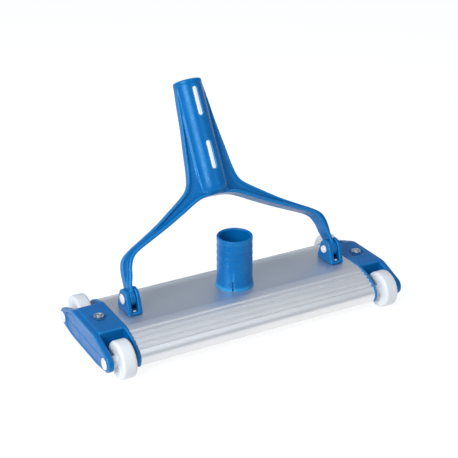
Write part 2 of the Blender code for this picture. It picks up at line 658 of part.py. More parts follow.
def add_brushes(base):
    shoulder = RAIL_HALF_WIDTH - GAP
    neck = BRUSH_NECK_HALF
    top = RAIL_ROOF_Z - GAP
    step = RAIL_LIP_Z + GAP
    neck_end = -12.6 * MM
    for label, end in (("front", -1), ("back", 1)):
        centre = end * RAIL_Y
        outline = [(centre + shoulder, top), (centre - shoulder, top), (centre - shoulder, step),
                   (centre - neck, step), (centre - neck, neck_end), (centre + neck, neck_end),
                   (centre + neck, step), (centre + shoulder, step)]
        holder = slab([outline], -BRUSH_HALF_LENGTH, BRUSH_HALF_LENGTH, YZ_OUTLINE)
        add_piece(f"{label}_brush_holder", holder, BLUE, base)
        bristles = slab([rectangle(centre - neck, centre + neck, BRISTLE_END_Z, neck_end - GAP)],
                        -BRUSH_HALF_LENGTH + 1 * MM, BRUSH_HALF_LENGTH - 1 * MM, YZ_OUTLINE)
        add_piece(f"{label}_bristles", bristles, BRISTLE, base)


# ---------------------------------------------------------------- assembly

def build():
    base = add_empty("base", None, (0, -CENTRE_Y, PLATE_HEIGHT))
    swivel = add_empty("hose_axis", base)
    pivot = add_empty("handle_axis", base, (0, 0, PIVOT_Z), (-LEAN, 0, 0))
    add_body(base)
    for prefix, turn, flip in (("right", 0.0, 1), ("left", pi, -1)):
        side = add_empty(f"{prefix}_side", base, turn=(0, 0, turn))
        add_end_cap(f"{prefix}_end_cap", side)
        add_tie(prefix, side)
        add_cap_fastener(prefix, side)
        add_bracket(prefix, side)
        add_turned(f"{prefix}_pivot_pin", pivot_pin_profile(), WHITE, side, (PIVOT_X, 0, PIVOT_Z),
                   (0, pi / 2, 0), closed=False, steps=16)
        add_bracket_fasteners(prefix, side, flip)
    add_wheels(base)
    add_handle(pivot)
    add_sleeve(pivot)
    add_hose_parts(base, swivel)
    add_brushes(base)


build()
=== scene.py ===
"""Looks of a manual pool cleaner head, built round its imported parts.

Everything is in metres in the row frame: +X runs along the body, +Y to the back, +Z up. Outlines
are listed in millimetres from the middle of the body's flat top, the way the frame has them, and
the handle's from its pivot, with s running up the handle.
"""

import random
from math import cos, pi, radians, sin, sqrt, tan

import bmesh
import bpy
from mathutils import Matrix, Vector


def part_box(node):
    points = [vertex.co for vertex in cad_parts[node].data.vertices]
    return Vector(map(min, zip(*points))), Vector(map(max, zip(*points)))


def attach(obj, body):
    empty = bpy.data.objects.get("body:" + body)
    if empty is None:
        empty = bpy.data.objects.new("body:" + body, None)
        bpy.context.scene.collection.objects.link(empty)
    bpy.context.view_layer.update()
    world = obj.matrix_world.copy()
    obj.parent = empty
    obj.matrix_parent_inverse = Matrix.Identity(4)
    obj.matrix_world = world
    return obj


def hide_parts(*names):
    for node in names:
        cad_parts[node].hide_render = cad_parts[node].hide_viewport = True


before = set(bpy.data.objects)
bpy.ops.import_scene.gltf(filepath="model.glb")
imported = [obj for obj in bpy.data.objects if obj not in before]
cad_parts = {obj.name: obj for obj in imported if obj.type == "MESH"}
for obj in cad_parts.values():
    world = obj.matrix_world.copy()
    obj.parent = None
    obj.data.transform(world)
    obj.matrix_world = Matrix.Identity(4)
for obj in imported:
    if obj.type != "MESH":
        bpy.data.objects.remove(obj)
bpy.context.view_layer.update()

MM = 0.001


def middle_of(node):
    low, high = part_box(node)
    return (low + high) / 2


BODY_LOW, BODY_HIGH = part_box("body_extrusion")
TOP = Vector((0, middle_of("body_extrusion").y, BODY_HIGH.z))
PIVOT = Vector((0, TOP.y, middle_of("right_pivot_pin").z))
PIVOT_X = middle_of("right_bracket").x
AXLE = middle_of("back_right_wheel") - TOP
WHEEL_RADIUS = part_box("back_right_wheel")[1].z / 2
LEAN = radians(30.5)

# Each of the first two stands a flat outline up in its plane, with its height along the third axis
YZ = Matrix(((0, 0, 1, 0), (1, 0, 0, 0), (0, 1, 0, 0), (0, 0, 0, 1)))
XZ = Matrix(((1, 0, 0, 0), (0, 0, -1, 0), (0, 1, 0, 0), (0, 0, 0, 1)))
XY = Matrix.Identity(4)
ALONG_X = Matrix.Rotation(pi / 2, 4, "Y")
BODY_FRAME = Matrix.Translation(TOP)
HANDLE_FRAME = Matrix.Translation(PIVOT) @ Matrix.Rotation(-LEAN, 4, "X")


# ---------------------------------------------------------------- lines

def smooth_line(points, per_span):
    """Catmull-Rom curve through points in millimetres, returned in metres."""
    line = [Vector(p) * MM for p in points]
    line = [2 * line[0] - line[1]] + line + [2 * line[-1] - line[-2]]
    result = []
    for k in range(1, len(line) - 2):
        a, b, c, d = line[k - 1:k + 3]
        for step in range(per_span):
            t = step / per_span
            result.append(0.5 * (2 * b + (c - a) * t + (2 * a - 5 * b + 4 * c - d) * t ** 2
                                 + (3 * b - 3 * c + d - a) * t ** 3))
    result.append(line[-2])
    return result


def offset_line(line, distance):
    """The line moved to its left-hand side by a distance."""
    moved = []
    for k, point in enumerate(line):
        along = line[min(k + 1, len(line) - 1)] - line[max(k - 1, 0)]
        moved.append(point + distance * Vector((-along.y, along.x)).normalized())
    return moved


def arc(u, v, radius, start, end, count):
    """Points on an arc; the angles are in degrees."""
    angles = [radians(start + (end - start) * k / count) for k in range(count + 1)]
    return [(u + radius * cos(a), v + radius * sin(a)) for a in angles]


def round_corners(corners, closed=True, per_turn=24):
    """Line through corners (u, v, radius) in millimetres with each corner rounded; in metres."""
    count = len(corners)
    line = []
    for k, (u, v, radius) in enumerate(corners):
        here = Vector((u, v))
        if radius == 0 or (not closed and k in (0, count - 1)):
            line.append(here * MM)
            continue
        before = (Vector(corners[k - 1][:2]) - here).normalized()
        after = (Vector(corners[(k + 1) % count][:2]) - here).normalized()
        half = before.angle(after) / 2
        centre = here + (before + after).normalized() * radius / sin(half)
        first = here + before * radius / tan(half) - centre
        turn = (pi - 2 * half) * (1 if before.cross(after) < 0 else -1)
        steps = max(2, round(abs(turn) / (2 * pi) * per_turn))
        for step in range(steps + 1):
            angle = turn * step / steps
            line.append((centre + Matrix.Rotation(angle, 2) @ first) * MM)
    return [tuple(p) for p in line]


def mirrored(half):
    """Closed outline from its right half, given from top to bottom."""
    return [tuple(p) for p in half] + [(-u, v) for u, v in reversed([tuple(p) for p in half])]


def capsule(u, v_low, v_high, width, count=12):
    """Slot outline with two round ends, in the units of its numbers."""
    radius = width / 2
    return (arc(u, v_high - radius, radius, 0, 180, count)
            + arc(u, v_low + radius, radius, 180, 360, count))


def rectangle(low_u, low_v, high_u, high_v):
    """Outline of a rectangle given in millimetres."""
    corners = [(low_u, low_v), (high_u, low_v), (high_u, high_v), (low_u, high_v)]
    return [(u * MM, v * MM) for u, v in corners]


# ---------------------------------------------------------------- meshes

def mesh_from(work):
    """A new mesh from a bmesh, with its faces pointing outwards."""
    mesh = bpy.data.meshes.new("piece")
    bmesh.ops.recalc_face_normals(work, faces=work.faces)
    work.to_mesh(mesh)
    work.free()
    return mesh


def prism(outline, low, high, turn=XY):
    """Closed mesh of one outline between two heights across its plane."""
    work = bmesh.new()
    floor = [work.verts.new((u, v, low)) for u, v in outline]
    roof = [work.verts.new((u, v, high)) for u, v in outline]
    work.faces.new(floor)
    work.faces.new(roof)
    for k in range(len(outline)):
        work.faces.new((floor[k - 1], floor[k], roof[k], roof[k - 1]))
    mesh = mesh_from(work)
    mesh.transform(turn)
    return mesh


def lathe(profile, steps=96, closed=False):
    """A profile of (radius, height) turned about Z."""
    work = bmesh.new()
    rings = []
    for radius, height in profile:
        if radius < 0.001 * MM:
            rings.append([work.verts.new((0, 0, height))] * steps)
        else:
            rings.append([work.verts.new((radius * cos(2 * pi * k / steps),
                                          radius * sin(2 * pi * k / steps), height))
                          for k in range(steps)])
    pairs = list(zip(rings, rings[1:]))
    if closed:
        pairs.append((rings[-1], rings[0]))
    for upper, lower in pairs:
        for k in range(steps):
            corners = dict.fromkeys((upper[k - 1], upper[k], lower[k], lower[k - 1]))
            if len(corners) > 2:
                work.faces.new(tuple(corners))
    return mesh_from(work)


def rod(radius, low, high, steps=96):
    """Cylinder about Z, in millimetres."""
    return lathe([(0, high * MM), (radius * MM, high * MM), (radius * MM, low * MM),
                  (0, low * MM)], steps)


def soften(mesh, width, segments=3, sharper_than=35):
    """Round the edges of a closed mesh that turn by more than an angle in degrees."""
    work = bmesh.new()
    work.from_mesh(mesh)
    edges = [e for e in work.edges if e.calc_face_angle(0) > radians(sharper_than)]
    bmesh.ops.bevel(work, geom=edges, offset=width, segments=segments, profile=0.5,
                    affect="EDGES", clamp_overlap=True)
    work.to_mesh(mesh)
    work.free()
    return mesh


def moved(mesh, x=0.0, y=0.0, z=0.0):
    mesh.transform(Matrix.Translation((x, y, z)))
    return mesh


def laid_along_x(mesh):
    mesh.transform(ALONG_X)
    return mesh


def new_object(name, mesh):
    made = bpy.data.objects.new(name, mesh)
    bpy.context.scene.collection.objects.link(made)
    return made


def settle(piece):
    """Replace a piece's mesh by what its modifiers make of it."""
    graph = bpy.context.evaluated_depsgraph_get()
    piece.data = bpy.data.meshes.new_from_object(piece.evaluated_get(graph))
    piece.modifiers.clear()


def combine(name, start, steps):
    """An object made from a mesh by booleans (operation, mesh), one after another."""
    piece = new_object(name, start)
    tools = []
    for operation, mesh in steps:
        tool = new_object(name + "_tool", mesh)
        tools.append(tool)
        boolean = piece.modifiers.new(operation, "BOOLEAN")
        boolean.operation = operation
        boolean.solver = "EXACT"
        boolean.object = tool
    settle(piece)
    for tool in tools:
        bpy.data.objects.remove(tool, do_unlink=True)
    return piece


def moulded(piece, voxel, rounds):
    """Melt the pieces of a mesh into one skin with soft edges."""
    remesh = piece.modifiers.new("skin", "REMESH")
    remesh.mode = "VOXEL"
    remesh.voxel_size = voxel
    remesh.adaptivity = 0.0
    smooth = piece.modifiers.new("soft", "SMOOTH")
    smooth.factor = 0.5
    smooth.iterations = rounds
    settle(piece)


def placed(piece, nodes, body, look, where=BODY_FRAME, smooth_below=35):
    """Put a finished piece in the row frame, with its material, body and the nodes it stands for."""
    piece.data.transform(where)
    piece.data.materials.clear()
    piece.data.materials.append(look)
    piece.data.shade_smooth()
    piece.data.set_sharp_from_angle(angle=radians(smooth_below))
    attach(piece, body)
    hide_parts(*nodes)
    return piece


# ---------------------------------------------------------------- materials

def new_material(name, colour, roughness, metallic=0.0):
    made = bpy.data.materials.new(name)
    made.use_nodes = True
    shader = made.node_tree.nodes["Principled BSDF"]
    shader.inputs["Base Color"].default_value = (*colour, 1.0)
    shader.inputs["Roughness"].default_value = roughness
    shader.inputs["Metallic"].default_value = metallic
    return made, made.node_tree, shader


def coordinates(tree, scale):
    source = tree.nodes.new("ShaderNodeTexCoord")
    mapping = tree.nodes.new("ShaderNodeMapping")
    mapping.inputs["Scale"].default_value = scale
    tree.links.new(source.outputs["Object"], mapping.inputs["Vector"])
    return mapping.outputs["Vector"]


def noise(tree, vector, scale, detail=3.0):
    node = tree.nodes.new("ShaderNodeTexNoise")
    node.inputs["Scale"].default_value = scale
    node.inputs["Detail"].default_value = detail
    tree.links.new(vector, node.inputs["Vector"])
    return node.outputs["Fac"]


def ramp(tree, value, stops):
    """Colour ramp from (position, colour) stops, where a single number gives a grey."""
    node = tree.nodes.new("ShaderNodeValToRGB")
    elements = node.color_ramp.elements
    while len(elements) < len(stops):
        elements.new(0.5)
    for element, (position, colour) in zip(elements, stops):
        element.position = position
        shade = colour if isinstance(colour, tuple) else (colour,) * 3
        element.color = (*shade, 1.0)
    tree.links.new(value, node.inputs["Fac"])
    return node.outputs["Color"]


def add_bump(tree, shader, height, strength, distance):
    bump = tree.nodes.new("ShaderNodeBump")
    bump.inputs["Strength"].default_value = strength
    bump.inputs["Distance"].default_value = distance
    tree.links.new(height, bump.inputs["Height"])
    tree.links.new(bump.outputs["Normal"], shader.inputs["Normal"])


# Painted shade and painted highlight over pointiness: painted shade darkens the creases, a painted
# highlight lightens the edges
PAINTED_CREASE_SHADE = [(0.40, 0.8), (0.49, 0.0)]
PAINTED_EDGE_HIGHLIGHT = [(0.513, 0.0), (0.58, 0.85)]


def moulded_plastic(name, colour, pale, roughness, gloss, sheen=(1.0, 1.0, 1.0)):
    """Moulded plastic: slight cloudiness, painted shade in the creases, a painted highlight on the
    edges and a fine satin grain.
    """
    made, tree, shader = new_material(name, colour, roughness)
    shader.inputs["Specular IOR Level"].default_value = gloss
    shader.inputs["Specular Tint"].default_value = (*sheen, 1.0)
    vector = coordinates(tree, (1, 1, 1))
    cloudy = tuple(0.88 * c for c in colour)
    crease_shade = tuple(0.4 * c for c in colour)
    shade = ramp(tree, noise(tree, vector, 34.0), [(0.3, cloudy), (0.7, colour)])
    edges = tree.nodes.new("ShaderNodeNewGeometry")
    # Painted shade in the creases and a painted highlight on the edges, both by pointiness
    for stops, tint in ((PAINTED_CREASE_SHADE, crease_shade), (PAINTED_EDGE_HIGHLIGHT, pale)):
        mix = tree.nodes.new("ShaderNodeMix")
        mix.data_type = "RGBA"
        mix.inputs["B"].default_value = (*tint, 1.0)
        tree.links.new(ramp(tree, edges.outputs["Pointiness"], stops), mix.inputs["Factor"])
        tree.links.new(shade, mix.inputs["A"])
        shade = mix.outputs["Result"]
    tree.links.new(shade, shader.inputs["Base Color"])
    rub = ramp(tree, noise(tree, vector, 120.0, 5.0),
               [(0.35, roughness - 0.05), (0.65, roughness + 0.07)])
    tree.links.new(rub, shader.inputs["Roughness"])
    add_bump(tree, shader, noise(tree, vector, 1800.0, 2.0), 0.05, 0.05 * MM)
    return made


def drawn_metal(name, colour, pale, roughness, stretch):
    """Metal with fine lines along one direction and a soft anodised cloudiness."""
    made, tree, shader = new_material(name, colour, roughness, 1.0)
    lines = noise(tree, coordinates(tree, stretch), 1.0, 4.0)
    cloud = noise(tree, coordinates(tree, (1, 1, 1)), 9.0)
    both = tree.nodes.new("ShaderNodeMath")
    both.operation = "MULTIPLY_ADD"
    both.inputs[1].default_value = 0.35
    tree.links.new(lines, both.inputs[0])
    tree.links.new(cloud, both.inputs[2])
    shade = ramp(tree, both.outputs[0], [(0.5, colour), (0.85, pale)])
    tree.links.new(shade, shader.inputs["Base Color"])
    rub = ramp(tree, lines, [(0.3, roughness - 0.02), (0.7, roughness + 0.03)])
    tree.links.new(rub, shader.inputs["Roughness"])
    add_bump(tree, shader, lines, 0.03, 0.05 * MM)
    return made


# The second colour of each plastic is the painted highlight on its edges
BLUE = moulded_plastic("blue_plastic", (0.0, 0.118, 0.36), (0.05, 0.38, 0.74), 0.30, 0.45,
                       (0.3, 0.65, 1.0))
WHITE = moulded_plastic("white_nylon", (0.66, 0.68, 0.70), (0.86, 0.87, 0.88), 0.42, 0.4)
ALUMINIUM = drawn_metal("anodised_aluminium", (0.71, 0.72, 0.735), (0.77, 0.77, 0.77), 0.44,
                        (2, 900, 900))
STEEL = drawn_metal("stainless_steel", (0.52, 0.56, 0.60), (0.66, 0.68, 0.70), 0.30,
                    (900, 60, 900))
BRISTLE = moulded_plastic("bristle_nylon", (0.74, 0.77, 0.82), (0.85, 0.88, 0.92), 0.50, 0.4)


# ---------------------------------------------------------------- body

# Outside of the shoulder, from the edge of the flat top to the lip: (y, z)
SHOULDER = [(28.0, 0.0), (35.5, -1.6), (43.5, -3.9), (51.0, -7.2), (57.5, -11.6), (61.6, -16.6),
            (62.7, -21.5), (60.8, -28.5)]
BODY_WALL = 2.2 * MM
SPIGOT_HOLE = 20.0
FLUTES = 5
FLUTE_FIRST = 9.5 * MM  # along the section, from the edge of the flat
FLUTE_PITCH = 5.45 * MM
FLUTE_WIDTH = 2.9 * MM
FLUTE_DEPTH = 1.3 * MM
# The slot that holds a brush strip, and the walls round it: (y, z)
RAIL = [(41.0, -4.5), (37.2, -5.6), (37.2, -9.4), (33.3, -9.4), (33.3, -7.9), (35.6, -7.9),
        (35.6, -4.3), (25.4, -4.3), (25.4, -7.9), (27.7, -7.9), (27.7, -9.4), (23.8, -9.4),
        (23.8, -2.2)]


def section_top(proud=0.0, flutes=FLUTES, per_span=16):
    """Outer half section from the edge of the flat top to the lip, with its flutes cut in."""
    line = smooth_line(SHOULDER, per_span)
    spine = []
    length = 0.0
    for a, b in zip(line, line[1:]):
        steps = max(1, round((b - a).length / (0.3 * MM)))
        outward = Vector((a.y - b.y, b.x - a.x)).normalized()
        for step in range(steps):
            spine.append((length + (b - a).length * step / steps, a.lerp(b, step / steps), outward))
        length += (b - a).length
    spine.append((length, line[-1], spine[-1][2]))
    points = []
    for distance, point, outward in spine:
        depth = 0.0
        for k in range(flutes):
            off = abs(distance - FLUTE_FIRST - k * FLUTE_PITCH) / (FLUTE_WIDTH / 2)
            if off < 1:
                depth = FLUTE_DEPTH * (1 - off ** 2)
        points.append(tuple(point + outward * (proud - depth)))
    return points


def add_body():
    outer = section_top()
    inner = [tuple(p) for p in offset_line(smooth_line(SHOULDER, 8), -BODY_WALL)]
    nose = [p for p in inner if p[0] > 41.5 * MM]
    lip = round_corners([(60.8, -27.0, 0), (60.7, -28.5, 0.5), (58.7, -28.2, 0.5), (58.8, -27.0, 0)],
                        closed=False)
    rail = [(u * MM, v * MM) for u, v in RAIL]
    half = outer[:-4] + lip[1:-1] + nose[::-1][4:] + rail
    chamfer = lathe([(0, 1 * MM), ((SPIGOT_HOLE + 1.5) * MM, 1 * MM), ((SPIGOT_HOLE - 1) * MM, -1 * MM),
                     (0, -1 * MM)])
    steps = [("DIFFERENCE", rod(SPIGOT_HOLE, -20, 20)), ("DIFFERENCE", chamfer)]
    body = combine("body_shell", prism(mirrored(half), BODY_LOW.x, BODY_HIGH.x, YZ), steps)
    placed(body, ["body_extrusion"], "base", ALUMINIUM, smooth_below=28)


# ---------------------------------------------------------------- hexagon nuts

ENVELOPE_STEPS = 97  # a prime, so that no facet lines up with a side of the hexagon


def hexagon(flat):
    """Outline of a hexagon from its width across flats."""
    corner = flat / sqrt(3)
    return [(corner * cos(pi * k / 3), corner * sin(pi * k / 3)) for k in range(6)]


def hexagon_nut(name, flat, height, bore):
    """Nut about Z from z = 0 up, with both faces turned down at the corners; no bore if it is 0."""
    corner = flat / sqrt(3)
    envelope = lathe([(0, height), (corner * 0.86, height), (corner * 1.02, height * 0.78),
                      (corner * 1.02, height * 0.22), (corner * 0.86, 0), (0, 0)], ENVELOPE_STEPS)
    steps = [("INTERSECT", envelope)]
    if bore:
        steps.append(("DIFFERENCE", lathe([(0, height + 1 * MM), (bore + 1 * MM, height + 1 * MM),
                                           (bore, height - 0.6 * MM), (bore, -1 * MM),
                                           (0, -1 * MM)], 48)))
    return combine(name, prism(hexagon(flat), -1 * MM, height + 1 * MM), steps)


# ---------------------------------------------------------------- end caps

FLANGE_X = (138.5 * MM, 141.5 * MM)
WALL_X = (166.6 * MM, 173.4 * MM)
WALL_TOP = -1.0
WALL_BOTTOM = -32.6
WALL_NOSE = 9.5
WALL_SLOPE = 28  # degrees down from level, between the flat top and the nose
FLANGE_BOTTOM = -29.5
DECK_HALF = 29.7
DECK_TOP = 0.3
DECK_BOTTOM = -29.2
HOLLOW_X = (144.0 * MM, 164.2 * MM)
HOLLOW_HALF = 27.3
HOLLOW_TOP = -2.2
BOLT_X = middle_of("right_cap_nut").x
BOLT_HOLE = 3.3
PIN_HOLE = 4.3


def wall_outline():
    """Side wall of a cap: flat top, slopes to a round nose at each axle, deeper middle."""
    y, z = AXLE.y / MM, AXLE.z / MM
    slope = radians(WALL_SLOPE)
    half = round_corners([(0.0, WALL_TOP, 0), (29.0, WALL_TOP, 24.0),
                          (y + WALL_NOSE * sin(slope), z + WALL_NOSE * cos(slope), 0)],
                         closed=False)[1:-1]
    half += [(u * MM, v * MM) for u, v in arc(y, z, WALL_NOSE, 90 - WALL_SLOPE, -90, 20)]
    half += round_corners([(y, z - WALL_NOSE, 0), (33.0, WALL_BOTTOM, 20.0), (0.0, WALL_BOTTOM, 0)],
                          closed=False)[1:-1]
    return mirrored(half)


FIELD_DEPTH = 0.8 * MM
GROOVE_WIDTH = 1.3 * MM
GROOVE_DEPTH = 1.1 * MM  # below the field
# Sunk field in the outside of the wall, and the grooves over it and along its middle: right half,
# (y, z, rounding)
FIELD = [(27.2, -4.2, 16.0), (46.3, -11.3, 3.0), (46.8, -16.5, 4.0), (45.0, -26.6, 4.0),
         (32.2, -30.0, 10.0)]
GROOVES = [[(0.0, -4.6, 0), (27.0, -4.6, 16.0), (46.6, -11.8, 0)],
           [(0.0, -17.2, 0), (46.8, -17.2, 0)]]


def groove_outline(half):
    """Band of the groove's width along a line and its mirror image."""
    line = [Vector(p) for p in round_corners(half, closed=False)]
    line = [Vector((-p.x, p.y)) for p in reversed(line[1:])] + line
    above = offset_line(line, GROOVE_WIDTH / 2)
    below = offset_line(line, -GROOVE_WIDTH / 2)
    return [tuple(p) for p in above + below[::-1]]


def add_end_cap(prefix, side):
    wall_low, wall_high = WALL_X
    flange_low, flange_high = FLANGE_X
    wall = soften(prism(wall_outline(), wall_low, wall_high, YZ), 1.6 * MM, 4)
    flange = section_top(0.7 * MM, flutes=0, per_span=5)
    flange = mirrored(flange[:-1] + [(flange[-1][0], FLANGE_BOTTOM * MM)])
    flange = soften(prism(flange, flange_low, flange_high, YZ), 1.0 * MM, 3, 60)
    deck_outline = round_corners([(-DECK_HALF, DECK_TOP, 1.5), (-DECK_HALF, DECK_BOTTOM, 0.8),
                                  (DECK_HALF, DECK_BOTTOM, 0.8), (DECK_HALF, DECK_TOP, 1.5)])
    deck = prism(deck_outline, flange_high - 1 * MM, wall_low + 1 * MM, YZ)
    hollow = prism(round_corners([(-HOLLOW_HALF, HOLLOW_TOP, 1.0), (-HOLLOW_HALF, -40, 0),
                                  (HOLLOW_HALF, -40, 0), (HOLLOW_HALF, HOLLOW_TOP, 1.0)]),
                   *HOLLOW_X, YZ)
    tie_slot = prism(round_corners([(-14.3, -1.5, 0), (-14.3, -5.3, 0), (14.3, -5.3, 0),
                                    (14.3, -1.5, 0)]), 130 * MM, 150 * MM, YZ)
    recess = lathe([(0, 10 * MM), (8.8 * MM, 10 * MM), (8.8 * MM, 0.3 * MM), (8.0 * MM, -0.5 * MM),
                    (0, -0.5 * MM)])
    bolt_hole = rod(BOLT_HOLE, -20, 9, 48)
    steps = [("UNION", flange), ("UNION", deck), ("DIFFERENCE", hollow), ("DIFFERENCE", tie_slot),
             ("DIFFERENCE", moved(recess, BOLT_X)), ("DIFFERENCE", moved(bolt_hole, BOLT_X))]
    field = round_corners(FIELD + [(-y, z, rounding) for y, z, rounding in reversed(FIELD)])
    sunk = wall_high - FIELD_DEPTH
    steps.append(("DIFFERENCE", prism(field, sunk, wall_high + 4 * MM, YZ)))
    for half in GROOVES:
        groove = prism(groove_outline(half), sunk - GROOVE_DEPTH, wall_high + 3 * MM, YZ)
        steps.append(("DIFFERENCE", groove))
    for end in (-1, 1):
        hole = laid_along_x(rod(PIN_HOLE, 120, 190, 48))
        steps.append(("DIFFERENCE", moved(hole, 0, end * AXLE.y, AXLE.z)))
    cap = combine(f"{prefix}_cap_shell", wall, steps)
    moulded(cap, 0.62 * MM, 2)
    if side < 0:
        cap.data.transform(Matrix.Rotation(pi, 4, "Z"))
    placed(cap, [f"{prefix}_end_cap"], "base", BLUE, smooth_below=180)


def add_cap_nut(prefix):
    low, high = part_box(f"{prefix}_cap_nut")
    nut = hexagon_nut(f"{prefix}_hex_nut", high.y - low.y, high.z - low.z, 3.2 * MM)
    place = Matrix.Translation((middle_of(f"{prefix}_cap_nut").x, TOP.y, low.z))
    placed(nut, [f"{prefix}_cap_nut"], "base", STEEL, place, 25)


# ---------------------------------------------------------------- wheels and pins

TREAD_WIDTH = 15.8
AXLE_PIN_HEAD = 6.2


def wheel_profile():
    """Roller with a hub, a shallow side face and a rounded tread: (radius, height) about its axle."""
    low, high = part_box("back_right_wheel")
    half_width = (high.x - low.x) / 2 / MM
    tread = TREAD_WIDTH / 2
    hub = [(4.35, half_width - 0.5, 0), (4.85, half_width, 0), (5.4, half_width, 0.3)]
    face = [(5.8, tread - 0.5, 0.4), (10.5, tread - 0.5, 1.0), (11.6, tread, 1.0),
            (WHEEL_RADIUS / MM, tread - 0.3, 3.2)]
    upper = hub + face
    corners = upper + [(r, -z, rounding) for r, z, rounding in reversed(upper)]
    return round_corners(corners, closed=True, per_turn=40)


def axle_pin_profile(length):
    """Pin with a domed head and a barb at its end, from the top of its head down."""
    head = [(0, 0, 0), (AXLE_PIN_HEAD, -0.35, 1.1), (AXLE_PIN_HEAD, -1.3, 0.2)]
    shank = [(4.0, -1.3, 0), (4.0, 5.4 - length, 0), (4.7, 4.6 - length, 0.2),
             (4.5, 2.4 - length, 0), (3.0, 1.0 - length, 0.4), (0, 1.0 - length, 0)]
    profile = round_corners(head + shank, closed=False, per_turn=40)
    return [(r, z - 0.02 * MM) for r, z in profile]


def add_wheels():
    profile = wheel_profile()
    for end in ("front", "back"):
        for side, sign in (("left", -1), ("right", 1)):
            name = f"{end}_{side}"
            middle = middle_of(f"{name}_wheel")
            wheel = new_object(f"{name}_tyre", lathe(profile, 120, closed=True))
            place = Matrix.Translation(middle) @ ALONG_X
            placed(wheel, [f"{name}_wheel"], f"{name}_roller", WHITE, place, 50)
            low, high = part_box(f"{name}_axle_pin")
            pin = new_object(f"{name}_pin_body", lathe(axle_pin_profile((high.x - low.x) / MM), 64))
            outside = high.x if sign > 0 else low.x
            turn = Matrix.Rotation(sign * pi / 2, 4, "Y")
            place = Matrix.Translation((outside, middle.y, WHEEL_RADIUS)) @ turn
            placed(pin, [f"{name}_axle_pin"], "base", WHITE, place, 40)


# ---------------------------------------------------------------- brackets

CHEEK_RADIUS = 10.2
CHEEK_GAP = 3.7 * MM  # half the width of the slot for the arm's foot
CLEVIS_FLOOR = 3.4
SCREW_OFFSET = 9.5  # of a screw, in front of and behind the pivot
SCREW_HOLE = 2.3
SCREW_HEAD = 1.8


def add_clevis(prefix, side):
    """Bracket with two round-topped cheeks on a foot."""
    low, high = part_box(f"{prefix}_bracket")
    half_x = (high.x - low.x) / 2
    half_y = (high.y - low.y) / 2 / MM
    pivot = (PIVOT.z - TOP.z) / MM
    top = [(CHEEK_RADIUS * cos(radians(a)), pivot + CHEEK_RADIUS * sin(radians(a)))
           for a in range(28, 154, 6)]
    outline = [(half_y, 0.3), (half_y, 3.0)] + top + [(-half_y, 3.0), (-half_y, 0.3)]
    block = prism([(u * MM, v * MM) for u, v in outline], -half_x, half_x, YZ)
    slot = prism(rectangle(-30, CLEVIS_FLOOR, 30, 40), -CHEEK_GAP, CHEEK_GAP, YZ)
    pin_hole = laid_along_x(rod(3.9, -30, 30, 64))
    steps = [("DIFFERENCE", soften(slot, 1.2 * MM, 3)),
             ("DIFFERENCE", moved(pin_hole, 0, 0, pivot * MM))]
    for end in (-1, 1):
        hole = lathe([(0, 3.9 * MM), (2.8 * MM, 3.9 * MM), (SCREW_HOLE * MM, 2.9 * MM),
                      (SCREW_HOLE * MM, -5 * MM), (0, -5 * MM)], 32)
        steps.append(("DIFFERENCE", moved(hole, 0, end * SCREW_OFFSET * MM, 0)))
    bracket = combine(f"{prefix}_clevis", soften(block, 1.1 * MM, 4, 25), steps)
    moulded(bracket, 0.45 * MM, 2)
    place = Matrix.Translation((side * PIVOT_X, TOP.y, TOP.z))
    placed(bracket, [f"{prefix}_bracket"], "base", BLUE, place, 180)


def add_pivot_pin(prefix, side):
    """Pin with a domed head outside the clevis and a pointed tail inside it."""
    low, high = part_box(f"{prefix}_bracket")
    reach = (high.x - low.x) / 2 / MM + 0.3
    head = [(0, reach + 1.9, 0), (4.0, reach + 1.6, 2.0), (5.5, reach + 0.8, 0.8),
            (5.5, reach, 0.1), (3.6, reach, 0)]
    tail = [(3.6, -reach, 0), (4.2, -reach, 0.1), (4.2, -reach - 1.2, 0), (3.3, -reach - 2.8, 0.8),
            (1.4, -reach - 3.5, 0.5), (0, -reach - 3.6, 0)]
    profile = round_corners(head + tail, closed=False, per_turn=40)
    pin = new_object(f"{prefix}_pivot", lathe(profile, 64))
    turn = Matrix.Rotation(side * pi / 2, 4, "Y")
    place = Matrix.Translation((side * PIVOT_X, PIVOT.y, PIVOT.z)) @ turn
    placed(pin, [f"{prefix}_pivot_pin"], "base", WHITE, place, 40)


def add_bracket_screws(prefix):
    """Slotted screws through the foot of the bracket."""
    for end in ("front", "back"):
        node = f"{prefix}_{end}_bracket_screw"
        low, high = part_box(node)
        middle = middle_of(node)
        length = (high.z - low.z) / MM - SCREW_HEAD
        profile = round_corners([(0, SCREW_HEAD, 0), (2.6, 1.3, 1.5), (3.2, 0.2, 0.3), (3.1, 0, 0),
                                 (2.0, 0, 0), (2.0, -length, 0.4), (0, -length, 0)],
                                closed=False, per_turn=40)
        slot = prism(rectangle(-1.9, -0.4, 1.9, 0.4), 0.9 * MM, 3 * MM)
        screw = combine(f"{node}_head", lathe(profile, 48), [("DIFFERENCE", slot)])
        place = Matrix.Translation((middle.x, middle.y, high.z - SCREW_HEAD * MM))
        placed(screw, [node], "base", STEEL, place, 30)


# ---------------------------------------------------------------- forked handle

# Underside of the arch and inner side of the arm: (x, s)
ARCH_LINE = [(0.0, 83.2), (12.0, 82.6), (24.0, 79.6), (42.2, 70.6), (64.9, 59.5), (86.0, 50.2),
             (101.5, 43.2), (109.2, 37.3), (113.4, 28.6), (115.4, 19.5), (117.9, 11.4), (118.0, 4.0)]
